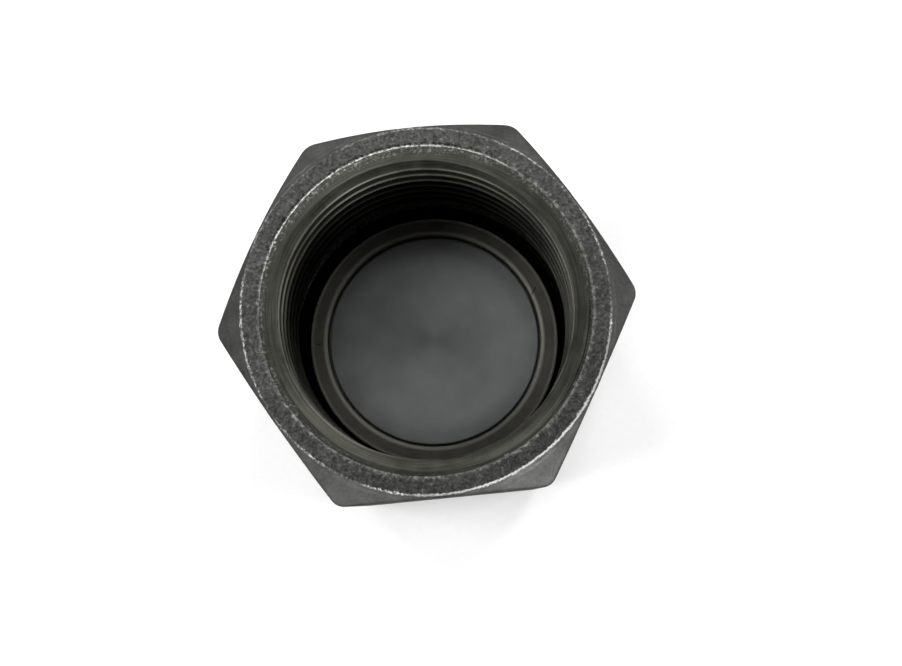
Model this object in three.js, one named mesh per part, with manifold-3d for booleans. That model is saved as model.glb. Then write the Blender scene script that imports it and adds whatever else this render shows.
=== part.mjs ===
// Hexagonal female pipe cap for a 1 inch parallel pipe thread (G1, ISO 228), with the two loose
// pieces that lie at the bottom of its bore: a turned blanking disc and the flat gasket on it.
// Millimetres, +Z up. The cap stands on its closed end: the origin is the middle of that end's
// face, and +Z runs along the bore and out of the mouth. Two wrench flats face +Y and -Y.

import * as THREE from "three";
import { mergeVertices } from "three/addons/utils/BufferGeometryUtils.js";
import Module from "manifold-3d";

const wasm = await Module();
wasm.setup();

// ---- Driving dimensions -----------------------------------------------------------------------

const capLength = 33; // closed end to mouth
const endWall = 4.5; // steel under the disc
const wallAtFlats = 2.1; // steel between the relief and a wrench flat: 38 mm across flats
const cornerRadius = 1.6; // rounding of the hexagon's six upright edges

const threadMajorDiameter = 33.25; // across the roots of the female thread
const threadPitch = 2.309; // 11 threads per inch
const threadLength = 17; // full thread, measured from the mouth
const threadStart = 0.3; // depth of the groove's middle below the mouth, on the +X side
const flankAngle = 27.5; // degrees, half of the thread's 55
const depthPerPitch = 0.6403; // thread depth of the 55 degree form, as a share of its pitch

const mouthOverThread = 0.425; // how far the 45 degree countersink opens past the root
const mouthLand = 1.65; // width of the flat ring round the mouth
const mouthChamferAngle = 45; // degrees, slope of the turned corners at the mouth
const endLand = 0.8; // flat left between the closed end's chamfer and a wrench flat
const endChamferAngle = 30; // degrees, slope of the turned corners at the closed end

const reliefOverThread = 0.275; // how far the relief is cut past the thread's root
const recessDepth = 1; // step in the floor that centres the disc

const discFlange = 1.5; // thickness under the gasket
const discEdge = 0.2; // broken edges of the disc

const gasketWidth = 2.1; // from its bore to its rim
const gasketThickness = 2;
const gasketEdge = 0.4; // rounding of the gasket's four edges

// Clearances
const threadClearance = 0.2; // disc and gasket to the thread's crest that they pass, on the radius
const recessClearance = 0.2; // disc to the step round it, on the radius
const bossClearance = 0.25; // boss to the gasket's bore, on the radius
const bossBelowGasket = 0.75; // how far the gasket stands above the boss, so that the pipe meets it
const seatGap = 0.05; // between two faces that rest on each other

// Fineness of the round shapes
const roundSegments = 48;
const edgeSegments = 3;
const cutOverrun = 1; // how far a cutting shape runs past the face it cuts

// ---- Sizes and places that follow -------------------------------------------------------------

const radians = THREE.MathUtils.degToRad;
const threadMajorRadius = threadMajorDiameter / 2;
const threadDepth = depthPerPitch * threadPitch;
const threadMinorRadius = threadMajorRadius - threadDepth;
const mouthRadius = threadMajorRadius + mouthOverThread;
const reliefRadius = threadMajorRadius + reliefOverThread;
const flatRadius = reliefRadius + wallAtFlats;
const sharpCornerRadius = flatRadius / Math.cos(radians(30));
const discRadius = threadMinorRadius - threadClearance;
const recessRadius = discRadius + recessClearance;
const recessFloorZ = endWall;
const reliefFloorZ = recessFloorZ + recessDepth;
const reliefTopZ = capLength - threadLength;
const discZ = recessFloorZ + seatGap;
const gasketZ = discZ + discFlange + seatGap;
const gasketOuterRadius = discRadius;
const gasketInnerRadius = gasketOuterRadius - gasketWidth;
const bossRadius = gasketInnerRadius - bossClearance;
const bossTopZ = gasketZ + gasketThickness - bossBelowGasket;

// ---- Tools ------------------------------------------------------------------------------------

// A closed three.js geometry as a solid that can be joined and cut.
function solidOf(geometry) {
  const bare = geometry.clone();
  bare.deleteAttribute("normal");
  bare.deleteAttribute("uv");
  const welded = mergeVertices(bare, 1e-5);
  const vertProperties = new Float32Array(welded.getAttribute("position").array);
  const triVerts = new Uint32Array(welded.getIndex().array);
  return new wasm.Manifold(new wasm.Mesh({ numProp: 3, vertProperties, triVerts }));
}

// A solid as a three.js geometry again.
function geometryOf(solid) {
  const mesh = solid.getMesh();
  const geometry = new THREE.BufferGeometry();
  geometry.setAttribute("position", new THREE.BufferAttribute(mesh.vertProperties, 3));
  geometry.setIndex(new THREE.BufferAttribute(mesh.triVerts, 1));
  geometry.computeVertexNormals();
  return geometry;
}

// Turns a profile of [radius, height] points round the Z axis.
function turned(profile) {
  const points = profile.map(([radius, height]) => new THREE.Vector2(radius, height));
  return new THREE.LatheGeometry(points, roundSegments).rotateX(Math.PI / 2);
}

// A quarter round of a profile, from one angle to the other about a middle point.
function quarterRound(middleRadius, middleHeight, radius, fromAngle, toAngle) {
  const points = [];
  for (let step = 0; step <= edgeSegments; step += 1) {
    const angle = radians(THREE.MathUtils.lerp(fromAngle, toAngle, step / edgeSegments));
    points.push([middleRadius + radius * Math.cos(angle), middleHeight + radius * Math.sin(angle)]);
  }
  return points;
}

function namedMesh(name, geometry, finish) {
  const mesh = new THREE.Mesh(geometry, new THREE.MeshStandardMaterial(finish));
  mesh.name = name;
  return mesh;
}

// ---- Cap body ---------------------------------------------------------------------------------

// Hexagonal bar with rounded corners, two of them on the X axis.
function hexagonBar() {
  const outline = new THREE.Shape();
  const middleDistance = sharpCornerRadius - cornerRadius / Math.cos(radians(30));
  for (let corner = 0; corner < 6; corner += 1) {
    const angle = radians(60 * corner);
    const x = middleDistance * Math.cos(angle);
    const y = middleDistance * Math.sin(angle);
    outline.absarc(x, y, cornerRadius, angle - radians(30), angle + radians(30), false);
  }
  outline.closePath();
  const settings = { depth: capLength, bevelEnabled: false, curveSegments: edgeSegments };
  return new THREE.ExtrudeGeometry(outline, settings);
}

// The round envelope that the lathe leaves: it cuts the hexagon's corners at both ends.
function turnedEnvelope() {
  const outside = sharpCornerRadius + cutOverrun;
  const mouthFaceRadius = mouthRadius + mouthLand;
  const endFaceRadius = flatRadius - endLand;
  const mouthDrop = (outside - mouthFaceRadius) * Math.tan(radians(mouthChamferAngle));
  const endRise = (outside - endFaceRadius) * Math.tan(radians(endChamferAngle));
  return turned([
    [0, 0],
    [endFaceRadius, 0],
    [outside, endRise],
    [outside, capLength - mouthDrop],
    [mouthFaceRadius, capLength],
    [0, capLength],
  ]);
}

// The bore: step for the disc, thread relief, thread crest and countersunk mouth.
function boreCut() {
  const countersinkDepth = mouthRadius - threadMinorRadius;
  const reliefRunOut = reliefRadius - threadMinorRadius;
  return turned([
    [0, recessFloorZ],
    [recessRadius, recessFloorZ],
    [recessRadius, reliefFloorZ],
    [reliefRadius, reliefFloorZ],
    [reliefRadius, reliefTopZ - reliefRunOut],
    [threadMinorRadius, reliefTopZ],
    [threadMinorRadius, capLength - countersinkDepth],
    [mouthRadius + cutOverrun, capLength + cutOverrun],
    [0, capLength + cutOverrun],
  ]);
}

// The right-hand thread groove. A straight bar of the groove's section is wound into a helix:
// its length becomes the angle round the Z axis, and each turn climbs by one pitch.
function threadGroove() {
  const flankRun = threadDepth * Math.tan(radians(flankAngle));
  const rootHalf = (threadPitch / 2 - flankRun) / 2;
  const crestHalf = rootHalf + flankRun;
  const overrunHalf = crestHalf + rootHalf / 2;
  const innerRadius = threadMinorRadius - (overrunHalf - crestHalf) / Math.tan(radians(flankAngle));
  const section = new THREE.Shape([
    new THREE.Vector2(innerRadius, -overrunHalf),
    new THREE.Vector2(threadMajorRadius, -rootHalf),
    new THREE.Vector2(threadMajorRadius, rootHalf),
    new THREE.Vector2(innerRadius, overrunHalf),
  ]);
  const turnsAbove = (threadStart + crestHalf) / threadPitch + 1 / roundSegments;
  const turnsBelow = (threadLength - threadStart) / threadPitch;
  const steps = Math.ceil((turnsAbove + turnsBelow) * roundSegments);
  const topAngle = (2 * Math.PI * Math.ceil(turnsAbove * roundSegments)) / roundSegments;
  const stepAngle = (2 * Math.PI) / roundSegments;
  const bar = new THREE.ExtrudeGeometry(section, { depth: steps, steps, bevelEnabled: false });
  const corners = bar.getAttribute("position");
  for (let index = 0; index < corners.count; index += 1) {
    const radius = corners.getX(index);
    const angle = topAngle - corners.getZ(index) * stepAngle;
    const middle = capLength - threadStart + (threadPitch * angle) / (2 * Math.PI);
    const height = middle + corners.getY(index);
    corners.setXYZ(index, radius * Math.cos(angle), radius * Math.sin(angle), height);
  }
  return bar;
}

function capBody() {
  const blank = solidOf(hexagonBar()).intersect(solidOf(turnedEnvelope()));
  const bored = blank.subtract(solidOf(boreCut()));
  const threaded = bored.subtract(solidOf(threadGroove()));
  return namedMesh("cap_body", geometryOf(threaded), {
    color: 0x47473f,
    roughness: 0.5,
    metalness: 1,
  });
}

// ---- Blanking disc ----------------------------------------------------------------------------

// A turned steel disc. Its flange lies under the gasket and its middle stands up inside it.
function blankingDisc() {
  const flangeTopZ = discZ + discFlange;
  const profile = turned([
    [0, discZ],
    [discRadius - discEdge, discZ],
    [discRadius, discZ + discEdge],
    [discRadius, flangeTopZ - discEdge],
    [discRadius - discEdge, flangeTopZ],
    [bossRadius, flangeTopZ],
    [bossRadius, bossTopZ - discEdge],
    [bossRadius - discEdge, bossTopZ],
    [0, bossTopZ],
  ]);
  return namedMesh("blanking_disc", profile, { color: 0x5c6060, roughness: 0.35, metalness: 1 });
}

// ---- Gasket -----------------------------------------------------------------------------------

// A flat rubber ring with rounded edges, lying on the disc's flange.
function sealRing() {
  const innerMiddle = gasketInnerRadius + gasketEdge;
  const outerMiddle = gasketOuterRadius - gasketEdge;
  const lowMiddle = gasketZ + gasketEdge;
  const highMiddle = gasketZ + gasketThickness - gasketEdge;
  const section = [
    ...quarterRound(outerMiddle, lowMiddle, gasketEdge, 270, 360),
    ...quarterRound(outerMiddle, highMiddle, gasketEdge, 0, 90),
    ...quarterRound(innerMiddle, highMiddle, gasketEdge, 90, 180),
    ...quarterRound(innerMiddle, lowMiddle, gasketEdge, 180, 270),
  ];
  const ring = turned([...section, section[0]]);
  return namedMesh("seal_ring", ring, { color: 0x2f2d27, roughness: 0.55, metalness: 0 });
}

const pipeCap = new THREE.Group();
pipeCap.add(capBody(), blankingDisc(), sealRing());

export default pipeCap;
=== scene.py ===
"""A hexagonal steel pipe cap, seen into its open mouth: the threaded cap body, the turned blanking
disc on its floor and the flat rubber gasket on the disc."""

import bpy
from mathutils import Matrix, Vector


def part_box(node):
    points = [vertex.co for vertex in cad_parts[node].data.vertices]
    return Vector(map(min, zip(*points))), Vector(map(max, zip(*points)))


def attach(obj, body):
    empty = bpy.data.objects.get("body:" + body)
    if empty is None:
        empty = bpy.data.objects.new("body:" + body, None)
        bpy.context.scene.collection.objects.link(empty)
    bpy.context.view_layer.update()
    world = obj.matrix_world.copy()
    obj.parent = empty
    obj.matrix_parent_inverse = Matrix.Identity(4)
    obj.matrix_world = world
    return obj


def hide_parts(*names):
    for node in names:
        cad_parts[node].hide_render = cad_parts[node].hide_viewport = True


bl_info = {
    "name": "Pipe Cap",
    "version": (1, 0, 0),
    "blender": (4, 5, 0),
    "location": "3D View > Sidebar > Pipe Cap",
    "description": "Builds a hexagonal pipe cap with its blanking disc and gasket",
    "category": "Add Mesh",
}

import math
from functools import partial

import bmesh
import bpy
from bpy.props import FloatProperty, FloatVectorProperty, IntProperty, PointerProperty
from mathutils import Matrix, Vector, noise

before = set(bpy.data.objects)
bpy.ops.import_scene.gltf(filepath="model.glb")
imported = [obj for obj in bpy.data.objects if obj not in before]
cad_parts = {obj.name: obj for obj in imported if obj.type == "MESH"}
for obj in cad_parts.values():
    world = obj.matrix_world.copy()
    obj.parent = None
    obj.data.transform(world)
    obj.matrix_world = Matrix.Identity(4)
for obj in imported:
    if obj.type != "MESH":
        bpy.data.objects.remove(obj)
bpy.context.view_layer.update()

MM = 0.001
FLATS = 6
FLAT_ANGLE = 2 * math.pi / FLATS  # from one wrench flat of the hexagon to the next

CAP_LOW, CAP_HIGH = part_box("cap_body")
DISC_LOW, DISC_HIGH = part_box("blanking_disc")
SEAL_LOW, SEAL_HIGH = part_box("seal_ring")

# Marks on the gasket's face: direction from the axis in degrees, where each starts and ends on
# its way out, in millimetres, and how far it slants for each millimetre.
GASKET_MARKS = ((19, 12.9, 14.0, 0.7), (43, 12.8, 13.2, 0.0), (176.5, 13.5, 14.3, 0.1))

# Directions from the axis in degrees of the lit sides of the mouth ring's two edges. Each edge is painted
# bright
# all along its lit side: worn steel with a painted highlight. The inner one also sets where painted light
# and shade fall.
INNER_WEAR_AND_LIT_SIDE, OUTER_WEAR_AND_LIT_SIDE = 112, 304

# The side of the bore where the deep thread is painted with the darkest shade, in degrees.
SHADED_SIDE = 120


def linear(hex_colour):
    """An sRGB colour such as "8a8d8f" as linear red, green and blue."""
    channels = [int(hex_colour[i:i + 2], 16) / 255 for i in (0, 2, 4)]
    return [c / 12.92 if c <= 0.04045 else ((c + 0.055) / 1.055) ** 2.4 for c in channels]


def length(name, description, default):
    return FloatProperty(name=name, description=description, default=default, min=0.0,
                         subtype="DISTANCE", unit="LENGTH", precision=5)


def angle(name, description, degrees):
    return FloatProperty(name=name, description=description, default=math.radians(degrees),
                         subtype="ANGLE", unit="ROTATION")


def colour(name, description, hex_colour):
    return FloatVectorProperty(name=name, description=description, default=linear(hex_colour),
                               min=0.0, max=1.0, size=3, subtype="COLOR")


# ---- Sizes and colours that a user would change -------------------------------------------------

class CapSizes(bpy.types.PropertyGroup):
    """Sizes of the cap body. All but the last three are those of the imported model."""
    flat_radius: length("Flat radius", "Axis to a wrench flat", CAP_HIGH.y)
    cap_length: length("Length", "Closed end to mouth", CAP_HIGH.z)
    corner_radius: length("Corner radius", "Rounding of the upright edges", 1.6 * MM)
    mouth_radius: length("Mouth radius", "Outer edge of the countersink", 17.05 * MM)
    mouth_land: length("Mouth land", "Width of the flat ring round the mouth", 1.65 * MM)
    end_land: length("End land", "Flat between the closed end's chamfer and a flat", 0.8 * MM)
    end_slope: angle("End slope", "Slope of the closed end's turned corners", 30)
    major_radius: length("Thread root", "Axis to the root of the thread", 16.625 * MM)
    minor_radius: length("Thread crest", "Axis to the crest of the thread", 15.1465 * MM)
    pitch: length("Pitch", "Climb of the thread in one turn", 2.309 * MM)
    thread_start: length("Thread start", "Depth of the first groove on the +X side", 0.3 * MM)
    thread_length: length("Thread length", "Mouth to the thread relief", 17 * MM)
    flank_angle: angle("Flank angle", "Half of the thread's angle", 27.5)
    relief_radius: length("Relief radius", "Bore below the thread", 16.9 * MM)
    floor_height: length("Floor height", "Closed end to the floor round the step", 5.5 * MM)
    step_radius: length("Step radius", "Step that centres the disc", 15.1465 * MM)
    step_height: length("Step height", "Closed end to the bottom of the step", 4.5 * MM)
    edge_radius: length("Edge radius", "Rounding of the ring's outer edge", 0.15 * MM)
    sink_rounding: length("Sink rounding", "Rounding of the countersink's edge", 0.6 * MM)
    columns: IntProperty(name="Columns", description="Faces round the cap", default=432, min=48)


class RingSizes(bpy.types.PropertyGroup):
    """Sizes of the gasket and the disc that are not in their boxes."""
    bore_radius: length("Gasket bore", "Axis to the gasket's bore", 12.8465 * MM)
    gasket_edge: length("Gasket edge", "Rounding of the gasket's edges", 0.4 * MM)
    boss_radius: length("Boss radius", "Axis to the edge of the disc's boss", 12.5965 * MM)
    flange_height: length("Flange", "Thickness of the disc under the gasket", 1.5 * MM)
    disc_edge: length("Disc edge", "Broken edges of the disc", 0.2 * MM)


class CapColours(bpy.types.PropertyGroup):
    """Colours of the finishes."""
    oxide: colour("Black oxide", "Oiled black oxide on the outside", "4f4f4e")
    faced: colour("Faced ring", "Oxide on the torn ring round the mouth", "525250")
    # This colour is also painted as bright highlights along the lit sides of the mouth ring's edges.
    bare_and_highlight: colour("Bared steel", "Steel where the oxide is worn away", "dadad6")
    sink: colour("Countersink", "Oiled steel of the countersink", "43443e")
    bore: colour("Bore", "Oiled steel in the bore", "3b3b36")
    disc: colour("Disc", "Face-turned steel of the disc", "b9bcbc")
    rubber: colour("Rubber", "Nitrile rubber of the gasket", "54524a")
    # The rim colour is a painted highlight along the gasket's rounded upper rims.
    rim: colour("Rubber rims", "Rubbed rims of the gasket", "8f8e83")
    floor: colour("Floor", "Pale studio floor", "fcfcfc")


class ViewSizes(bpy.types.PropertyGroup):
    """Where the camera stands over the mouth."""
    lens: FloatProperty(name="Lens", description="Focal length on a 36 mm wide sensor",
                        default=49.7, min=1.0, subtype="DISTANCE_CAMERA", unit="CAMERA")
    distance: length("Distance", "Camera to the plane of the mouth", 125.5 * MM)
    tilt: angle("Tilt", "Camera's line of sight to the bore's axis", 7.77)
    lean: angle("Lean", "Way that the bore leans in the view, from the right", -80.6)
    roll: angle("Roll", "Turn of the hexagon in the view", 5.65)
    left: length("Left", "Mouth's middle to the left of the view's centre", 2.60 * MM)
    above: length("Above", "Mouth's middle above the view's centre", 2.53 * MM)


# ---- Mesh tools ---------------------------------------------------------------------------------

def arc(middle, radius, first, last, steps):
    """Points of a round stretch of a profile, with its angles in degrees."""
    angles = [math.radians(first + (last - first) * i / steps) for i in range(steps + 1)]
    return [(middle[0] + radius * math.cos(a), middle[1] + radius * math.sin(a)) for a in angles]


def fine_line(start, end, step):
    """Points of a straight stretch of a profile, close enough together to be pressed."""
    count = max(1, round(math.dist(start, end) / step))
    return [(start[0] + (end[0] - start[0]) * i / count, start[1] + (end[1] - start[1]) * i / count)
            for i in range(count + 1)]


def rounded(profile, corner, radius, steps):
    """A profile with one of its corners rounded to a radius."""
    before, here, after = (Vector(profile[i % len(profile)]) for i in (corner - 1, corner, corner + 1))
    back, onward = (before - here).normalized(), (after - here).normalized()
    half = back.angle(onward) / 2
    middle = here + (back + onward).normalized() * (radius / math.sin(half))
    first = here + back * (radius / math.tan(half)) - middle
    last = here + onward * (radius / math.tan(half)) - middle
    turn = first.angle_signed(last)
    points = []
    for i in range(steps + 1):
        points.append(tuple(middle + Matrix.Rotation(-turn * i / steps, 2) @ first))
    return profile[:corner] + points + profile[corner + 1:]


def copied(bm, part, matrix):
    """Copies a part of a bmesh and moves the copy by a matrix."""
    copy = bmesh.ops.duplicate(bm, geom=part)["geom"]
    verts = [element for element in copy if isinstance(element, bmesh.types.BMVert)]
    bmesh.ops.transform(bm, matrix=matrix, verts=verts)


def joined_up(bm):
    """Merges the seams of a bmesh and turns its faces outwards."""
    bmesh.ops.remove_doubles(bm, verts=bm.verts[:], dist=0.001 * MM)
    bmesh.ops.recalc_face_normals(bm, faces=bm.faces[:])


def spun(profile, columns, closed=False):
    """A bmesh of a profile of (radius, height) points turned once round the bore's axis. A sixth
    of the turn is spun and the rest are copies of it, which is far quicker than one long spin."""
    bm = bmesh.new()
    verts = [bm.verts.new((radius, 0, height)) for radius, height in profile]
    pairs = list(zip(verts, verts[1:]))
    if closed:
        pairs.append((verts[-1], verts[0]))
    edges = [bm.edges.new(pair) for pair in pairs]
    bmesh.ops.spin(bm, geom=verts + edges, cent=(0, 0, 0), axis=(0, 0, 1), angle=FLAT_ANGLE,
                   steps=columns // FLATS)
    sector = bm.verts[:] + bm.edges[:] + bm.faces[:]
    for i in range(1, FLATS):
        copied(bm, sector, Matrix.Rotation(i * FLAT_ANGLE, 4, "Z"))
    joined_up(bm)
    return bm


def piece_from(bm, name, sharp_degrees=35):
    """Makes an object of a bmesh, smooth but for its sharp edges, and frees the bmesh."""
    for face in bm.faces:
        face.smooth = True
    for edge in bm.edges:
        edge.smooth = len(edge.link_faces) == 2 and edge.calc_face_angle() < math.radians(sharp_degrees)
    mesh = bpy.data.meshes.new(name)
    bm.to_mesh(mesh)
    bm.free()
    piece = bpy.data.objects.new(name, mesh)
    bpy.context.scene.collection.objects.link(piece)
    return piece


def cut_away(piece, cutter):
    """Cuts one object out of another and removes the cutter."""
    modifier = piece.modifiers.new("cut", "BOOLEAN")
    modifier.operation = "DIFFERENCE"
    modifier.solver = "MANIFOLD"
    modifier.object = cutter
    bpy.context.view_layer.update()
    evaluated = piece.evaluated_get(bpy.context.evaluated_depsgraph_get())
    cut_mesh = bpy.data.meshes.new_from_object(evaluated)
    piece.modifiers.remove(modifier)
    old_mesh = piece.data
    piece.data = cut_mesh
    bpy.data.meshes.remove(old_mesh)
    bpy.data.objects.remove(cutter)
    if not cut_mesh.polygons:
        raise RuntimeError(f"the cut left nothing of {piece.name}")


# ---- Material tools -----------------------------------------------------------------------------

TIMES, PLUS, LESS = {"operation": "MULTIPLY"}, {"operation": "ADD"}, {"operation": "SUBTRACT"}
MOST, SIZE_OF = {"operation": "MAXIMUM"}, {"operation": "ABSOLUTE"}
SCALED = {"operation": "SCALE"}
COLOUR_MIX = {"data_type": "RGBA"}


def add_node(tree, kind, settings=None, give=0, **inputs):
    """Adds a node and gives one of its outputs. Settings are its properties. An input is a value,
    or a socket to link, under its name or under i and its number."""
    node = tree.nodes.new("ShaderNode" + kind)
    for name, value in (settings or {}).items():
        setattr(node, name, value)
    for name, value in inputs.items():
        socket = node.inputs[int(name[1:]) if name[1:].isdigit() else name.replace("_", " ")]
        if isinstance(value, bpy.types.NodeSocket):
            tree.links.new(value, socket)
        else:
            socket.default_value = value
    return node.outputs[give] if node.outputs else node


def new_material(name):
    """A material with no nodes yet, and the function that adds nodes to it."""
    material = bpy.data.materials.new(name)
    material.use_nodes = True
    material.node_tree.nodes.clear()
    return material, partial(add_node, material.node_tree)


def place_in_mm(node):
    """Object coordinates in millimetres, and the distance from the bore's axis."""
    place = node("VectorMath", SCALED, i0=node("TexCoord", give="Object"), Scale=1 / MM)
    flat = node("VectorMath", TIMES, i0=place, i1=(1, 1, 0))
    return place, node("VectorMath", {"operation": "LENGTH"}, give="Value", i0=flat)


def turning_marks(node, place, radius, along, across):
    """Streaks round the axis, as a cutting tool leaves them, from 0 to 1. They are about the given
    lengths in millimetres along and across the cut."""
    squeezed = node("VectorMath", TIMES, i0=place, i1=(1 / along, 1 / along, 1 / across))
    outwards = node("CombineXYZ", Z=node("Math", TIMES, i0=radius, i1=1 / across))
    spread = node("VectorMath", PLUS, i0=squeezed, i1=outwards)
    return node("TexNoise", Vector=spread, Scale=1.0, Detail=4, Roughness=0.6)


def mottled(node, base, *patterns):
    """A base colour made darker and lighter by patterns, each with the most that it changes the
    colour by, as a share. A pattern keeps mostly between 0.35 and 0.65."""
    for pattern, most in patterns:
        share = node("MapRange", Value=pattern, From_Min=0.35, From_Max=0.65, To_Min=1 - most,
                     To_Max=1 + most)
        base = node("VectorMath", SCALED, i0=base, Scale=share)
    return base


def facing(node, place, direction):
    """How far a place lies towards a direction from the axis, in degrees from +X: 1 there and 0 on
    the far side."""
    turn = math.radians(direction)
    flat = node("VectorMath", TIMES, i0=place, i1=(1, 1, 0))
    outwards = node("VectorMath", {"operation": "NORMALIZE"}, i0=flat)
    share = node("VectorMath", {"operation": "DOT_PRODUCT"}, give="Value", i0=outwards,
                 i1=(math.cos(turn), math.sin(turn), 0))
    return node("MapRange", Value=share, From_Min=-1, From_Max=1, To_Min=0, To_Max=1)


def worn_line(node, radius, at, reach, patches):
    """A line round the axis at a radius: 1 on it and 0 past its reach, times patches that break it
    up, from 0 to 1."""
    off = node("Math", SIZE_OF, i0=node("Math", LESS, i0=radius, i1=at))
    line = node("MapRange", Value=off, From_Min=reach * 0.3, From_Max=reach, To_Min=1, To_Max=0)
    return node("Math", TIMES, i0=line, i1=patches)


def metal(node, material, base, roughness, height, depth, **more):
    """Ends a material as metal under a film: a base colour, a roughness and a relief whose depth
    is in millimetres."""
    normal = node("Bump", Height=height, Strength=1.0, Distance=depth * MM)
    inputs = {"Metallic": 1.0, "Specular_Tint": GRAZING_TINT, **more}
    surface = node("BsdfPrincipled", Base_Color=base, Roughness=roughness, Normal=normal, **inputs)
    node("OutputMaterial", Surface=surface)
    return material


# ---- Materials ----------------------------------------------------------------------------------

# An oxide or oil film keeps steel dark at grazing angles too, where bare metal would shine.
GRAZING_TINT = (0.25, 0.25, 0.24, 1.0)


def wear_and_highlight_mask(node, sizes, place, edge_place, faced, torn, grit):
    """Where the mouth ring is painted bare steel, from 0 to 1: real wear together with painted highlights.
    The outer edge of the ring round the mouth is painted bright along its lit side and chipped elsewhere,
    and its inner edge is painted bright along the other lit side: worn steel with a painted highlight.
    There are flecks between the two, and the hexagon's upright edges are faintly worn."""
    inner_edge = sizes.mouth_radius / MM
    outer_edge = (sizes.mouth_radius + sizes.mouth_land) / MM
    upright_edge = hexagon_radius(sizes, 0) / MM

    stretches = node("TexNoise", Vector=place, Scale=1 / 5.0, Detail=2)
    presence = node("MapRange", Value=stretches, From_Min=0.38, From_Max=0.6, To_Min=0.15, To_Max=1)
    chips = node("MapRange", Value=grit, From_Min=0.45, From_Max=0.62, To_Min=0.12, To_Max=1)
    chips = node("Math", TIMES, i0=chips, i1=presence)

    # Painted highlight over real wear: the outer edge is painted bright along its lit side.
    outer_side = facing(node, place, OUTER_WEAR_AND_LIT_SIDE)
    outer_lit_and_worn = node("MapRange", Value=outer_side, From_Min=0.8, From_Max=0.97, To_Min=0,
                      To_Max=0.75)
    outer_lit_and_worn = node("Math", MOST, i0=outer_lit_and_worn, i1=chips)
    spared = node("MapRange", Value=outer_side, From_Min=0.0, From_Max=0.15, To_Min=0.25, To_Max=1)
    outer_wear_and_highlight = worn_line(node, edge_place, outer_edge + 0.02, 0.15,
                           node("Math", TIMES, i0=outer_lit_and_worn, i1=spared))

    # Painted highlight over real wear: the inner edge is painted bright along its lit side.
    inner_lit_and_worn = node("MapRange", Value=facing(node, place, INNER_WEAR_AND_LIT_SIDE), From_Min=0.7, From_Max=0.9,
                     To_Min=0.08, To_Max=1)
    broken = node("MapRange", Value=grit, From_Min=0.4, From_Max=0.55, To_Min=0.35, To_Max=1)
    inner_wear_and_highlight = worn_line(node, edge_place, inner_edge - 0.2, 0.17,
                           node("Math", TIMES, i0=inner_lit_and_worn, i1=broken))

    sparse = node("MapRange", Value=torn, From_Min=0.5, From_Max=0.66, To_Min=0, To_Max=0.25)
    inner_specks = worn_line(node, edge_place, inner_edge - 0.05, 0.3, sparse)
    flecks = node("MapRange", Value=torn, From_Min=0.6, From_Max=0.72, To_Min=0, To_Max=0.3)
    flecks = node("Math", TIMES, i0=flecks, i1=faced)
    corner_wear = worn_line(node, edge_place, upright_edge + 0.05, 0.14,
                            node("Math", TIMES, i0=chips, i1=0.12))

    bare_and_highlight = outer_wear_and_highlight
    for wear in (inner_wear_and_highlight, inner_specks, flecks, corner_wear):
        bare_and_highlight = node("Math", MOST, i0=bare_and_highlight, i1=wear)
    return bare_and_highlight


def black_oxide_steel(colours, sizes):
    """Hot black oxide on machined steel: satin dark grey, faintly clouded, on the hexagon and its
    turned corners. The flat ring round the mouth is torn and pitted by facing and handling, so it
    is speckled, and it is painted darker with shade away from its lit side. A painted shadow line
    runs just outside the lit stretch of its inner edge."""
    material, node = new_material("black_oxide_steel")
    place, radius = place_in_mm(node)
    clouds = node("TexNoise", Vector=place, Scale=1 / 2.6, Detail=3)
    grain = node("TexNoise", Vector=place, Scale=1 / 0.35, Detail=4, Roughness=0.7)
    marks = turning_marks(node, place, radius, 4.0, 0.2)
    torn = node("TexNoise", Vector=place, Scale=1 / 0.6, Detail=6, Roughness=0.75, Distortion=0.4)
    grit = node("TexNoise", Vector=place, Scale=1 / 0.3, Detail=3, Roughness=0.6)

    inner_edge = sizes.mouth_radius / MM
    outer_edge = (sizes.mouth_radius + sizes.mouth_land) / MM
    wander = node("MapRange", Value=grain, From_Min=0.3, From_Max=0.7, To_Min=-0.12, To_Max=0.12)
    edge_place = node("Math", PLUS, i0=radius, i1=wander)
    faced = node("MapRange", Value=edge_place, From_Min=outer_edge + 0.12,
                 From_Max=outer_edge - 0.05, To_Min=0, To_Max=1)

    worn_and_lit_side = facing(node, place, INNER_WEAR_AND_LIT_SIDE)
    smooth_base = mottled(node, colours.oxide[:], (clouds, 0.14), (grain, 0.15), (marks, 0.06))
    torn_base = mottled(node, colours.faced[:], (torn, 0.38), (grit, 0.25), (clouds, 0.15))
    # Painted shade: the torn ring is painted darker on the side away from the lights.
    painted_shade_side = node("MapRange", Value=worn_and_lit_side, To_Min=0.72, To_Max=1)
    torn_base = node("VectorMath", SCALED, i0=torn_base, Scale=painted_shade_side)
    base = node("Mix", COLOUR_MIX, give=2, i0=faced, i6=smooth_base, i7=torn_base)
    # Painted shadow: a dark line just outside the lit stretch of the inner edge, standing in for a raised
    # lip's shade.
    behind_lip = node("MapRange", Value=worn_and_lit_side, From_Min=0.75, From_Max=0.9, To_Min=0,
                      To_Max=0.55)
    lip_shadow = worn_line(node, edge_place, inner_edge + 0.1, 0.12, behind_lip)
    base = node("VectorMath", SCALED, i0=base, Scale=node("Math", LESS, i0=1.0, i1=lip_shadow))
    # Bare steel from wear, plus painted highlights along the lit sides of the edges.
    bare_and_highlight = wear_and_highlight_mask(node, sizes, place, edge_place, faced, torn, grit)
    base = node("Mix", COLOUR_MIX, give=2, i0=bare_and_highlight, i6=base, i7=(*colours.bare_and_highlight, 1.0))

    relief = node("Mix", {"data_type": "FLOAT"}, i0=faced, i2=node("Math", TIMES, i0=grain, i1=0.2),
                  i3=node("Math", PLUS, i0=torn, i1=grit))
    roughness = node("MapRange", Value=torn, From_Min=0.3, From_Max=0.7, To_Min=0.42, To_Max=0.56)
    return metal(node, material, base, roughness, relief, 0.05)


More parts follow.
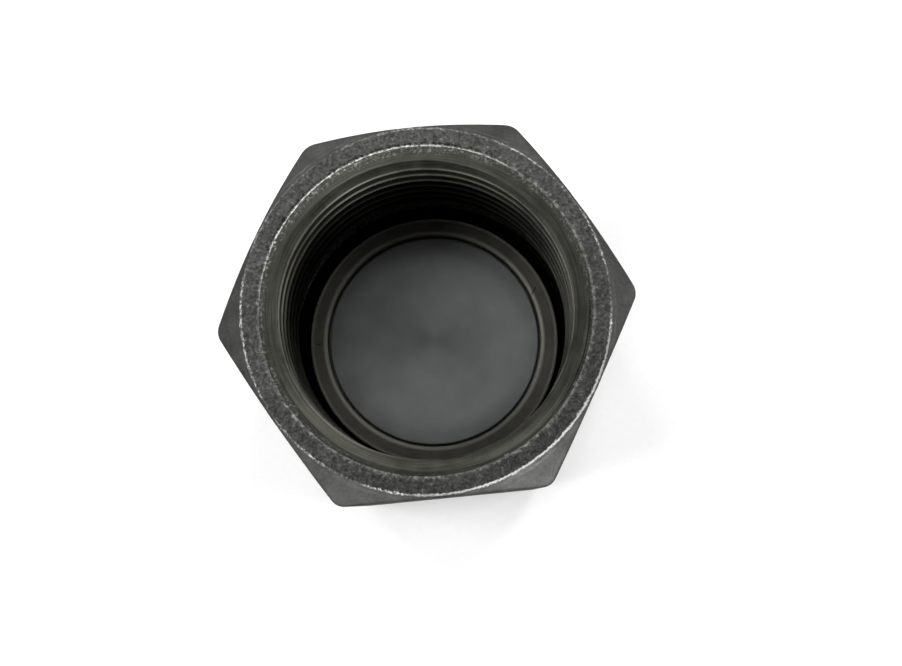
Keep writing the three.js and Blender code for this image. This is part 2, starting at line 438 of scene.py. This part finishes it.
def thread_wear_and_painted_light(node, sizes, place, radius, height):
    """How light the thread is painted, as a share of its colour. Its crests are painted pale, part
    rubbed wear and part painted highlight. Flanks that face the mouth get painted light, most of all
    the first flanks, and flanks that face away get painted shade. The deep end of the bore is painted
    dark with shade, most of all on one side."""
    crest = sizes.minor_radius / MM
    sink_low = (sizes.cap_length - sizes.mouth_radius) / MM + crest
    # Crests: pale from wear and from a painted highlight.
    on_crest = node("MapRange", Value=radius, From_Min=crest + 0.22, From_Max=crest + 0.1,
                    To_Min=0, To_Max=1)
    # Painted light: flanks near the mouth are lighter, deeper ones darker.
    first_flank = node("MapRange", Value=height, From_Min=sink_low - 2, From_Max=sink_low - 0.8,
                       To_Min=0.45, To_Max=0.98)
    # Painted light and shade by the surface's normal: facing the mouth is lighter, facing away darker.
    faces_mouth = node("SeparateXYZ", give="Z", i0=node("TexCoord", give="Normal"))
    flank = node("MapRange", Value=faces_mouth, From_Min=-0.1, From_Max=0.6, To_Min=0.3,
                 To_Max=first_flank)
    lightest = node("Math", MOST, i0=flank, i1=node("Math", TIMES, i0=on_crest, i1=2.3))
    # Painted shade: the thread gets darker with depth, darkest on the shaded side.
    deepest_shade = node("MapRange", Value=facing(node, place, SHADED_SIDE), From_Min=0.3, From_Max=0.8,
                    To_Min=0.4, To_Max=0.05)
    depth_shade = node("MapRange", Value=height, From_Min=sink_low - 8, From_Max=sink_low - 0.3,
                      To_Min=deepest_shade, To_Max=1)
    return node("Math", TIMES, i0=lightest, i1=depth_shade)


def bored_steel(colours, sizes):
    """Steel cut by a boring bar and a thread tool and left under old cutting oil: brownish dark
    grey, streaked round the bore, with painted light and shade on the thread. The countersink is
    duller, painted paler towards its lit side, and chipped along the edge there."""
    material, node = new_material("oiled_bored_steel")
    place, radius = place_in_mm(node)
    height = node("SeparateXYZ", give="Z", i0=place)
    marks = turning_marks(node, place, radius, 6.0, 0.2)
    stains = node("TexNoise", Vector=place, Scale=1 / 2.2, Detail=4, Roughness=0.6)
    grit = node("TexNoise", Vector=place, Scale=1 / 0.3, Detail=4, Roughness=0.65)

    cone_foot = (sizes.cap_length - sizes.mouth_radius) / MM  # height of the countersink's tip
    sink_low = cone_foot + sizes.minor_radius / MM
    past_cone = node("Math", LESS, i0=node("Math", LESS, i0=radius, i1=height), i1=-cone_foot)
    on_cone = node("MapRange", Value=past_cone, From_Min=0.16, From_Max=0.04, To_Min=0, To_Max=1)
    above_crest = node("MapRange", Value=height, From_Min=sink_low - 0.1, From_Max=sink_low + 0.1,
                       To_Min=0, To_Max=1)
    in_sink = node("Math", TIMES, i0=on_cone, i1=above_crest)

    worn_and_lit_side = facing(node, place, INNER_WEAR_AND_LIT_SIDE)
    # The thread's colour carries painted light and shade.
    thread_base = node("VectorMath", SCALED, i0=colours.bore[:],
                       Scale=thread_wear_and_painted_light(node, sizes, place, radius, height))
    # Painted light: the countersink is lighter on its lit side and darker away from it.
    sink_painted_light = node("MapRange", Value=worn_and_lit_side, To_Min=0.65, To_Max=1.15)
    sink_base = node("VectorMath", SCALED, i0=colours.sink[:], Scale=sink_painted_light)
    base = node("Mix", COLOUR_MIX, give=2, i0=in_sink, i6=thread_base, i7=sink_base)
    base = mottled(node, base, (stains, 0.2), (marks, 0.3))

    chips = node("MapRange", Value=grit, From_Min=0.52, From_Max=0.68, To_Min=0, To_Max=0.4)
    chips = node("Math", TIMES, i0=chips, i1=node("Math", TIMES, i0=worn_and_lit_side, i1=in_sink))
    wander = node("MapRange", Value=stains, From_Min=0.3, From_Max=0.7, To_Min=-0.25, To_Max=0.25)
    edge_place = node("Math", PLUS, i0=radius, i1=wander)
    wear = worn_line(node, edge_place, sizes.mouth_radius / MM - 0.2, 0.6, chips)
    base = node("Mix", COLOUR_MIX, give=2, i0=wear, i6=base, i7=(*colours.bare_and_highlight, 1.0))

    relief = node("Math", PLUS, i0=marks, i1=node("Math", TIMES, i0=grit, i1=0.5))
    roughness = node("MapRange", Value=stains, From_Min=0.3, From_Max=0.7, To_Min=0.38, To_Max=0.52)
    roughness = node("Math", PLUS, i0=roughness, i1=node("Math", TIMES, i0=in_sink, i1=0.14))
    return metal(node, material, base, roughness, relief, 0.02)


def turned_steel(colours):
    """Face-turned mild steel: rings too fine to see one by one, which stretch each highlight into
    a fan, under a thin grey haze of phosphate and oil that scatters half of the light."""
    material, node = new_material("face_turned_steel")
    place, radius = place_in_mm(node)
    marks = turning_marks(node, place, radius, 9.0, 0.12)
    clouds = node("TexNoise", Vector=place, Scale=1 / 4.0, Detail=3)
    base = mottled(node, colours.disc[:], (clouds, 0.08), (marks, 0.02))
    roughness = node("MapRange", Value=clouds, From_Min=0.3, From_Max=0.7, To_Min=0.41, To_Max=0.47)
    tangent = node("Tangent", {"direction_type": "RADIAL", "axis": "Z"})
    return metal(node, material, base, roughness, marks, 0.001, Metallic=0.55, Anisotropic=0.7,
                 Tangent=tangent)


def gasket_mark(node, place, direction, first, last, slant):
    """A thin line across the gasket's face, from 0 to 1."""
    turned = node("Mapping", Vector=place, Rotation=(0, 0, -math.radians(direction)))
    along = node("SeparateXYZ", give="X", i0=turned)
    across = node("SeparateXYZ", give="Y", i0=turned)
    middle = node("Math", TIMES, i0=node("Math", LESS, i0=along, i1=first), i1=slant)
    off = node("Math", SIZE_OF, i0=node("Math", LESS, i0=across, i1=middle))
    thin = node("MapRange", Value=off, From_Min=0.04, From_Max=0.12, To_Min=1, To_Max=0)
    from_middle = node("Math", SIZE_OF, i0=node("Math", LESS, i0=along, i1=(first + last) / 2))
    half = (last - first) / 2
    within = node("MapRange", Value=from_middle, From_Min=half, From_Max=half - 0.2, To_Min=0,
                  To_Max=0.85)
    return node("Math", TIMES, i0=thin, i1=within)


def nitrile_rubber(colours, sizes):
    """Moulded nitrile rubber, brown-black: satin, with a thin film of oil, painted paler along the
    two upper rims as a highlight, and with a nick, a scratch and a mould mark across its face."""
    material, node = new_material("moulded_nitrile_rubber")
    place, radius = place_in_mm(node)
    height = node("SeparateXYZ", give="Z", i0=place)
    film = node("TexNoise", Vector=place, Scale=1 / 1.8, Detail=3)
    marks = turning_marks(node, place, radius, 5.0, 0.25)
    grain = node("TexNoise", Vector=place, Scale=1 / 0.15, Detail=3, Roughness=0.6)

    inner_rim, outer_rim, top = sizes.bore_radius / MM, SEAL_HIGH.x / MM, SEAL_HIGH.z / MM
    # Painted highlight along the gasket's two rounded upper rims.
    rims = node("Math", MOST, i0=worn_line(node, radius, inner_rim + 0.2, 0.4, 1.0),
                i1=worn_line(node, radius, outer_rim - 0.15, 0.35, 1.0))
    on_top = node("MapRange", Value=height, From_Min=top - 0.3, From_Max=top - 0.15, To_Min=0,
                  To_Max=1)
    rims = node("Math", TIMES, i0=rims, i1=on_top)
    base = mottled(node, colours.rubber[:], (film, 0.15), (marks, 0.12))
    base = node("Mix", COLOUR_MIX, give=2, i0=rims, i6=base, i7=(*colours.rim, 1.0))
    for mark in GASKET_MARKS:
        base = node("Mix", COLOUR_MIX, give=2, i0=gasket_mark(node, place, *mark), i6=base,
                    i7=(0.002, 0.002, 0.002, 1.0))

    normal = node("Bump", Height=grain, Strength=0.3, Distance=0.02 * MM)
    roughness = node("MapRange", Value=film, From_Min=0.3, From_Max=0.7, To_Min=0.42, To_Max=0.55)
    surface = node("BsdfPrincipled", Base_Color=base, Roughness=roughness, IOR=1.52, Normal=normal)
    node("OutputMaterial", Surface=surface)
    return material


def pale_floor(colours):
    """Matt white card with a hardly visible tooth."""
    material, node = new_material("matt_white_card")
    place, _ = place_in_mm(node)
    tooth = node("TexNoise", Vector=place, Scale=1 / 0.8, Detail=2)
    base = mottled(node, colours.floor[:], (tooth, 0.01))
    node("OutputMaterial", Surface=node("BsdfPrincipled", Base_Color=base, Roughness=0.9))
    return material


# ---- Cap body -----------------------------------------------------------------------------------

def hexagon_radius(sizes, direction):
    """Axis to the rounded hexagon's outline, in the direction of an angle from +X."""
    from_corner = (direction + FLAT_ANGLE / 2) % FLAT_ANGLE - FLAT_ANGLE / 2
    half = FLAT_ANGLE / 2
    on_flat = sizes.flat_radius / math.cos(half - abs(from_corner))
    middle = (sizes.flat_radius - sizes.corner_radius) / math.cos(half)
    inside = sizes.corner_radius ** 2 - (middle * math.sin(from_corner)) ** 2
    if inside <= 0:
        return on_flat
    on_corner = middle * math.cos(from_corner) + math.sqrt(inside)
    tangent = math.atan2(sizes.corner_radius * math.sin(half),
                         middle + sizes.corner_radius * math.cos(half))
    return on_corner if abs(from_corner) < tangent else on_flat


def soft_least(first, second, width):
    """The smaller of two lengths, eased where they are within a width of each other."""
    overlap = max(0.0, 1 - abs(first - second) / width)
    return min(first, second) - overlap * overlap * width / 4


def cap_profile(sizes):
    """The cap's section before its flats and thread: from the middle of the closed end, up the
    outside, over the mouth and down the bore to the middle of the floor."""
    top = sizes.cap_length
    outside = sizes.flat_radius / math.cos(FLAT_ANGLE / 2) + 0.3 * MM
    face_radius = sizes.mouth_radius + sizes.mouth_land
    end_radius = sizes.flat_radius - sizes.end_land
    mouth_drop = outside - face_radius
    end_rise = (outside - end_radius) * math.tan(sizes.end_slope)
    crest_drop = sizes.mouth_radius - sizes.minor_radius
    relief_top = top - sizes.thread_length
    relief_run = sizes.relief_radius - sizes.minor_radius
    press_step = 0.13 * MM

    def eased(before, here, after, radius, steps=4):
        return rounded([before, here, after], 1, radius, steps)[1:-1]

    end_edge, mouth_edge = (end_radius, 0), (face_radius, top)
    low_corner, high_corner = (outside, end_rise), (outside, top - mouth_drop)
    sink_edge, crest_edge = (sizes.mouth_radius, top), (sizes.minor_radius, top - crest_drop)
    relief_edge = (sizes.minor_radius, relief_top)
    relief_high = (sizes.relief_radius, relief_top - relief_run)
    relief_low = (sizes.relief_radius, sizes.floor_height)
    step_edge = (sizes.step_radius, sizes.floor_height)
    step_low = (sizes.step_radius, sizes.step_height)
    floor_middle = (0, sizes.step_height)

    profile = [(0, 0), (end_radius * 0.5, 0), (end_radius * 0.9, 0)]
    profile += eased((0, 0), end_edge, low_corner, 0.3 * MM)
    profile += fine_line(end_edge, low_corner, press_step * 1.3)[2:]
    profile += fine_line(high_corner, mouth_edge, press_step)[:-1]
    profile += eased(high_corner, mouth_edge, sink_edge, sizes.edge_radius, 5)
    profile += fine_line(mouth_edge, sink_edge, 0.16 * MM)[1:-2]
    profile += eased(mouth_edge, sink_edge, crest_edge, sizes.sink_rounding, 7)
    profile += fine_line(sink_edge, crest_edge, 0.25 * MM)[2:-1]
    profile += eased(sink_edge, crest_edge, relief_edge, 0.1 * MM, 3)
    profile += eased(crest_edge, relief_edge, relief_high, 0.1 * MM, 3)
    profile += eased(relief_edge, relief_high, relief_low, 0.6 * MM)
    profile += eased(relief_high, relief_low, step_edge, 0.5 * MM)
    profile += eased(relief_low, step_edge, step_low, 0.12 * MM, 3)
    profile += eased(step_edge, step_low, floor_middle, 0.1 * MM, 3)
    profile.append(floor_middle)
    return profile


def press_hexagon(bm, sizes):
    """Presses the turned blank's outside in to the hexagon, with softly rounded edges."""
    for vert in bm.verts:
        radius = vert.co.xy.length
        if radius < sizes.mouth_radius + sizes.mouth_land * 0.5:
            continue
        limit = hexagon_radius(sizes, math.atan2(vert.co.y, vert.co.x))
        scale = soft_least(radius, limit, 0.25 * MM) / radius
        vert.co.x *= scale
        vert.co.y *= scale


def wear_mouth(bm, sizes):
    """Small dents and high spots on the flat ring round the mouth and its two edges."""
    top = sizes.cap_length
    for vert in bm.verts:
        radius = vert.co.xy.length
        if vert.co.z < top - 0.5 * MM or radius < sizes.mouth_radius - 0.4 * MM:
            continue
        place = vert.co / MM
        coarse = noise.noise(place * 0.7)
        fine = noise.noise(place * 2.3 + Vector((7, 3, 1)))
        vert.co.z += (0.02 * coarse + 0.03 * fine - 0.03) * MM
        push = 1 + (0.03 * coarse + 0.04 * fine) * MM / radius
        vert.co.x *= push
        vert.co.y *= push


def thread_groove(sizes):
    """The right-hand groove to be cut in the bore: its section swept up a helix."""
    half_pitch = sizes.pitch / 2
    depth = sizes.major_radius - sizes.minor_radius
    slope = math.tan(sizes.flank_angle)
    root_half = (half_pitch - depth * slope) / 2
    crest_half = root_half + depth * slope
    inside = 0.3 * MM  # how far the cutter stands out of the bore's wall
    rounded_crest = [(sizes.minor_radius - inside, crest_half + root_half * 0.8),
                     (sizes.minor_radius - 0.02 * MM, crest_half + root_half * 0.35),
                     (sizes.minor_radius + 0.05 * MM, crest_half + root_half * 0.05)]
    flank = [(sizes.minor_radius + past, crest_half - past * slope)
             for past in (0.14 * MM, 0.4 * MM, 0.8 * MM)]
    root_radius = 0.32 * MM
    root = arc((sizes.major_radius - root_radius, 0), root_radius, 62, 0, 4)
    half = rounded_crest + flank + root
    section = half + [(radius, -height) for radius, height in reversed(half[:-1])]

    drop = sizes.pitch / FLATS  # how far the groove climbs in a sixth of a turn
    above = math.ceil((sizes.thread_start + half_pitch) / drop)
    below = math.ceil((sizes.thread_length - sizes.thread_start) / drop)
    steps = sizes.columns // 2 // FLATS
    bm = bmesh.new()
    height = sizes.cap_length - sizes.thread_start + above * drop
    verts = [bm.verts.new((radius, 0, height + rise)) for radius, rise in section]
    edges = [bm.edges.new(pair) for pair in zip(verts, verts[1:] + verts[:1])]
    bmesh.ops.rotate(bm, verts=verts, matrix=Matrix.Rotation(above * FLAT_ANGLE, 3, "Z"))
    bmesh.ops.spin(bm, geom=verts + edges, cent=(0, 0, 0), axis=(0, 0, 1), angle=-FLAT_ANGLE,
                   dvec=(0, 0, -drop / steps), steps=steps)
    sector = bm.verts[:] + bm.edges[:] + bm.faces[:]
    for i in range(1, above + below):
        copied(bm, sector, Matrix.Translation((0, 0, -i * drop)) @ Matrix.Rotation(-i * FLAT_ANGLE, 4, "Z"))
    bmesh.ops.remove_doubles(bm, verts=bm.verts[:], dist=0.001 * MM)
    bmesh.ops.holes_fill(bm, edges=[edge for edge in bm.edges if edge.is_boundary])
    bmesh.ops.recalc_face_normals(bm, faces=bm.faces[:])
    return piece_from(bm, "thread_groove")


def in_bore(sizes, centre):
    """Whether a face is in the bore, from the countersink to the floor."""
    inside = centre.xy.length < sizes.mouth_radius - sizes.sink_rounding * 0.4
    return inside and centre.z > sizes.step_height - 0.01 * MM


class CAPKIT_OT_cap_body(bpy.types.Operator):
    """Builds the hexagonal cap body with its thread"""
    bl_idname = "capkit.cap_body"
    bl_label = "Add Cap Body"

    def execute(self, context):
        sizes = context.scene.cap_sizes
        colours = context.scene.cap_colours
        bm = spun(cap_profile(sizes), sizes.columns)
        press_hexagon(bm, sizes)
        wear_mouth(bm, sizes)
        body = piece_from(bm, "cap_body_shell")
        cut_away(body, thread_groove(sizes))
        body.data.materials.clear()
        for material in (black_oxide_steel(colours, sizes), bored_steel(colours, sizes)):
            body.data.materials.append(material)
        bm = bmesh.new()
        bm.from_mesh(body.data)
        for face in bm.faces:
            face.smooth = True
            face.material_index = int(in_bore(sizes, face.calc_center_median()))
        for edge in bm.edges:
            edge.smooth = edge.calc_face_angle(0) < math.radians(35)
        bm.to_mesh(body.data)
        bm.free()
        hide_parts("cap_body")
        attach(body, "cap")
        return {"FINISHED"}


# ---- Blanking disc ------------------------------------------------------------------------------

class CAPKIT_OT_blanking_disc(bpy.types.Operator):
    """Builds the turned disc on the cap's floor"""
    bl_idname = "capkit.blanking_disc"
    bl_label = "Add Blanking Disc"

    def execute(self, context):
        sizes = context.scene.ring_sizes
        rim, low, top = DISC_HIGH.x, DISC_LOW.z, DISC_HIGH.z
        flange = low + sizes.flange_height
        edge = sizes.disc_edge
        profile = [(0, low), (rim * 0.5, low)]
        profile += arc((rim - edge, low + edge), edge, -90, 0, 4)
        profile += arc((rim - edge, flange - edge), edge, 0, 90, 4)
        profile += [(sizes.boss_radius + 0.15 * MM, flange), (sizes.boss_radius, flange + 0.15 * MM)]
        profile += arc((sizes.boss_radius - edge, top - edge), edge, 0, 90, 5)
        profile += [(sizes.boss_radius * share, top) for share in (0.8, 0.6, 0.4, 0.2, 0.0)]
        disc = piece_from(spun(profile, 256), "turned_disc")
        disc.data.materials.append(turned_steel(context.scene.cap_colours))
        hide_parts("blanking_disc")
        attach(disc, "disc")
        return {"FINISHED"}


# ---- Gasket -------------------------------------------------------------------------------------

class CAPKIT_OT_seal_ring(bpy.types.Operator):
    """Builds the flat rubber gasket"""
    bl_idname = "capkit.seal_ring"
    bl_label = "Add Gasket"

    def execute(self, context):
        sizes = context.scene.ring_sizes
        rim, low, top = SEAL_HIGH.x, SEAL_LOW.z, SEAL_HIGH.z
        bore, edge = sizes.bore_radius, sizes.gasket_edge
        profile = arc((rim - edge, low + edge), edge, -90, 0, 7)
        profile += arc((rim - edge, top - edge), edge, 0, 90, 7)
        profile += fine_line((rim - edge, top), (bore + edge, top), 0.3 * MM)[1:-1]
        profile += arc((bore + edge, top - edge), edge, 90, 180, 7)
        profile += arc((bore + edge, low + edge), edge, 180, 270, 7)
        ring = piece_from(spun(profile, 360, closed=True), "gasket")
        ring.data.materials.append(nitrile_rubber(context.scene.cap_colours, sizes))
        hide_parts("seal_ring")
        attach(ring, "seal")
        return {"FINISHED"}


# ---- Stage --------------------------------------------------------------------------------------

# The soft boxes round the cap: name, slope from straight overhead and direction in degrees, width
# in metres, and how bright each alone makes a white card that faces it (1 is full white). The one
# overhead, where the camera stands, is faint, so the bore stays dark.
SOFT_BOXES = (
    ("left", 48, 180, 0.5, 0.6),
    ("upper_right", 48, 60, 0.5, 0.4),
    ("right", 48, 0, 0.5, 0.2),
    ("low_right", 72, 0, 0.5, 0.22),
    ("low_upper_left", 72, 120, 0.5, 0.5),
    ("low_lower_left", 72, 240, 0.5, 0.4),
    ("low_lower_right", 72, 300, 0.4, 0.6),
    ("low_upper_right", 72, 60, 0.5, 0.25),
    ("upper_left", 30, 150, 0.4, 0.06),
    ("overhead", 12, 60, 0.2, 0.015),
)
LIGHT_DISTANCE = 1.0


def soft_light(name, slope, direction, size, brightness):
    """A square soft box that looks at the cap's mouth."""
    data = bpy.data.lights.new(name, "AREA")
    data.shape = "SQUARE"
    data.size = size
    data.energy = brightness * (math.pi * LIGHT_DISTANCE) ** 2
    light = bpy.data.objects.new(name, data)
    bpy.context.scene.collection.objects.link(light)
    lean, turn = math.radians(slope), math.radians(direction)
    outwards = Vector((math.sin(lean) * math.cos(turn), math.sin(lean) * math.sin(turn), math.cos(lean)))
    light.location = Vector((0, 0, CAP_HIGH.z)) + outwards * LIGHT_DISTANCE
    light.rotation_euler = outwards.to_track_quat("Z", "Y").to_euler()


def stand_camera(view, mouth):
    """The camera over the mouth: it looks nearly down the bore, rolled and a little tilted."""
    data = bpy.data.cameras.new("camera")
    data.lens = view.lens
    data.sensor_width = 36
    data.clip_start = 0.005
    data.dof.use_dof = False
    camera = bpy.data.objects.new("camera", data)
    bpy.context.scene.collection.objects.link(camera)
    hinge = Vector((math.sin(view.lean), -math.cos(view.lean), 0))
    seen = Matrix.Rotation(view.tilt, 3, hinge) @ Matrix.Rotation(view.roll, 3, "Z")
    mouth_seen = Vector((-view.left, view.above, -view.distance))
    turned_back = seen.transposed()
    camera.matrix_world = Matrix.Translation(mouth - turned_back @ mouth_seen) @ turned_back.to_4x4()
    bpy.context.scene.camera = camera


class CAPKIT_OT_stage(bpy.types.Operator):
    """Lays the floor, and sets the lights and the camera"""
    bl_idname = "capkit.stage"
    bl_label = "Add Stage"

    def execute(self, context):
        scene = context.scene
        bm = bmesh.new()
        bmesh.ops.create_grid(bm, x_segments=1, y_segments=1, size=1.5)
        bmesh.ops.translate(bm, verts=bm.verts[:], vec=(0, 0, CAP_LOW.z - 0.02 * MM))
        floor = piece_from(bm, "floor")
        floor.data.materials.append(pale_floor(scene.cap_colours))

        world = bpy.data.worlds.new("studio")
        world.use_nodes = True
        background = world.node_tree.nodes["Background"]
        background.inputs["Color"].default_value = (1.0, 1.0, 1.0, 1.0)
        background.inputs["Strength"].default_value = 0.1
        scene.world = world
        scene.view_settings.view_transform = "Standard"

        for box in SOFT_BOXES:
            soft_light(*box)
        stand_camera(scene.cap_view, Vector((0, 0, CAP_HIGH.z)))
        return {"FINISHED"}


# ---- Panel and registration ---------------------------------------------------------------------

class CAPKIT_PT_panel(bpy.types.Panel):
    """Lists the cap's pieces in the sidebar"""
    bl_label = "Pipe Cap"
    bl_space_type = "VIEW_3D"
    bl_region_type = "UI"
    bl_category = "Pipe Cap"

    def draw(self, context):
        for operator in OPERATORS:
            self.layout.operator(operator.bl_idname)
        for group in ("cap_sizes", "ring_sizes", "cap_colours", "cap_view"):
            box = self.layout.box()
            values = getattr(context.scene, group)
            for name in values.bl_rna.properties.keys():
                if name not in ("rna_type", "name"):
                    box.prop(values, name)


GROUPS = {"cap_sizes": CapSizes, "ring_sizes": RingSizes, "cap_colours": CapColours,
          "cap_view": ViewSizes}
OPERATORS = (CAPKIT_OT_stage, CAPKIT_OT_cap_body, CAPKIT_OT_blanking_disc, CAPKIT_OT_seal_ring)


def register():
    for cls in (*GROUPS.values(), *OPERATORS, CAPKIT_PT_panel):
        bpy.utils.register_class(cls)
    for name, group in GROUPS.items():
        setattr(bpy.types.Scene, name, PointerProperty(type=group))


def unregister():
    for name in GROUPS:
        delattr(bpy.types.Scene, name)
    for cls in reversed((*GROUPS.values(), *OPERATORS, CAPKIT_PT_panel)):
        bpy.utils.unregister_class(cls)


def main():
    register()
    bpy.ops.capkit.stage()
    bpy.ops.capkit.cap_body()
    bpy.ops.capkit.blanking_disc()
    bpy.ops.capkit.seal_ring()


if __name__ == "__main__":
    main()
